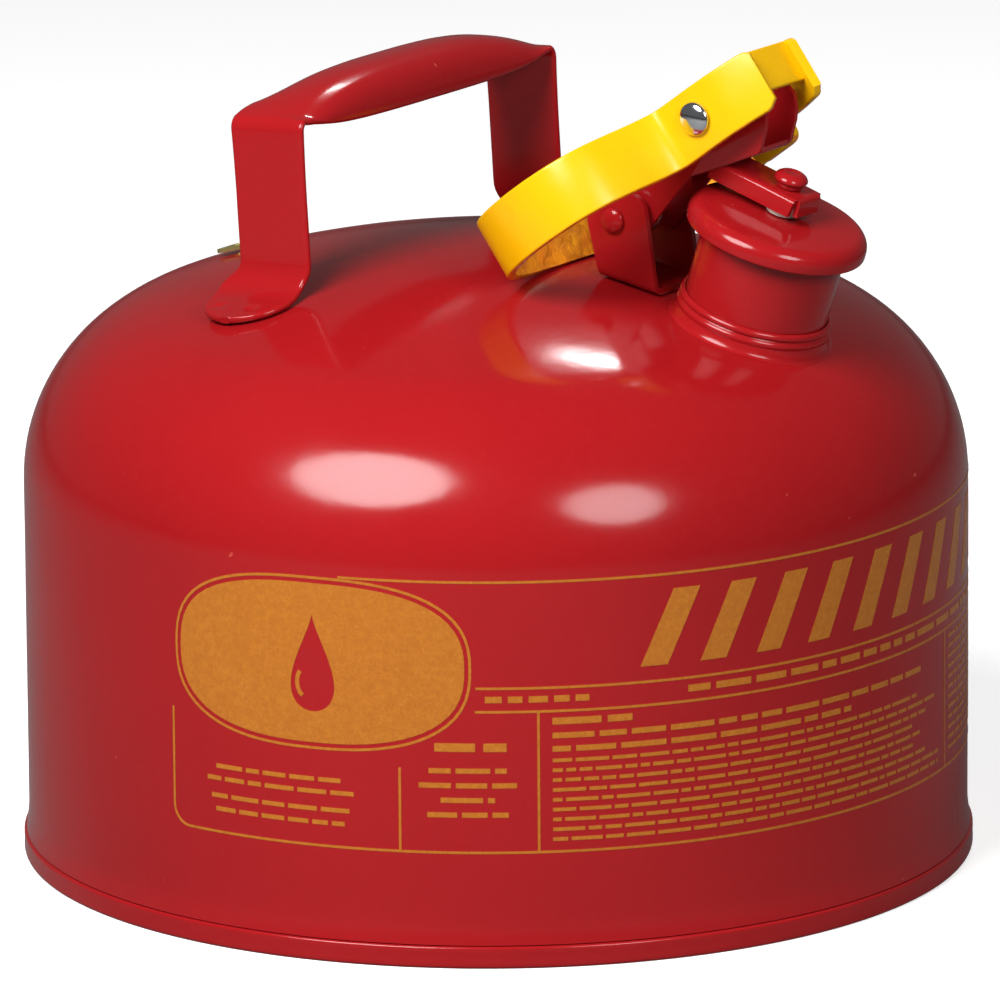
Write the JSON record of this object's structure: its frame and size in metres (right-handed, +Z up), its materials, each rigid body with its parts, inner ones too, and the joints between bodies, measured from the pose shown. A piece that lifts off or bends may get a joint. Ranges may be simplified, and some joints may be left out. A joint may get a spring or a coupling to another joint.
{
  "type": "flammable liquid safety can",
  "caption": "Round steel safety can for flammable liquids with a self-closing spring lid on its spout, a trigger ring linked to the lid arm, and a fixed carrying handle.",
  "frame": {"origin": "centre of the base, on the floor", "axes": "+Z up along the can's axis, +X towards the spout, the lid hinge and the carrying grip both run along Y"},
  "size_m": [0.2858, 0.2858, 0.2555],
  "materials": {
    "red_enamel": "gloss enamel on drawn steel sheet",
    "yellow_plastic": "gloss moulded plastic",
    "zinc_steel": "zinc plated, satin",
    "yellow_zinc": "yellow passivated zinc",
    "chrome": "polished",
    "brass_mesh": "woven wire mesh, satin",
    "black_rubber": "matt",
    "gold_print": "screen-printed gold enamel",
    "white_nylon": "satin"
  },
  "bodies": {
    "can": {"can_body": "red_enamel", "base_pan": "red_enamel", "spout_neck": "red_enamel", "spout_collar": "red_enamel", "flame_arrester_basket": "brass_mesh", "flame_arrester_rim": "zinc_steel", "carry_handle": "red_enamel", "ground_tab": "yellow_zinc", "lid_bracket": "red_enamel", "lid_pivot_pin": "red_enamel", "pivot_washer_near": "white_nylon", "pivot_washer_far": "white_nylon", "lid_pivot_bush": "zinc_steel", "lid_spring": "zinc_steel"},
    "arm": {"lid_arm": "red_enamel", "trigger_rivet": "chrome", "trigger_spacer_near": "white_nylon", "trigger_spacer_far": "white_nylon", "cap_rivet": "red_enamel"},
    "trigger": {"trigger_ring": "yellow_plastic"},
    "cap": {"spout_cap": "red_enamel", "cap_gasket": "black_rubber", "cap_gasket_plate": "zinc_steel", "cap_spacer": "white_nylon"}
  },
  "joints": [
    {"name": "lid_open", "type": "hinge", "parent": "can", "child": "arm", "pos_m": [0.0514, 0, 0.1995], "axis": [0, -1, 0], "range_deg": [0, 50], "stiffness_Nm_per_rad": 0.35, "springref_deg": -34.38, "deforming": ["lid_spring"]},
    {"name": "trigger_swing", "type": "hinge", "parent": "arm", "child": "trigger", "pos_m": [0.0852, 0, 0.2352], "axis": [0, 1, 0], "range_deg": [0, 50]},
    {"name": "cap_swivel", "type": "hinge", "parent": "arm", "child": "cap", "pos_m": [0.092, 0, 0.17125], "axis": [0.3007, 0, 0.9537], "continuous": true}
  ],
  "couplings": [
    {"joint": "trigger_swing", "follows": "lid_open", "ratio": 1}
  ]
}
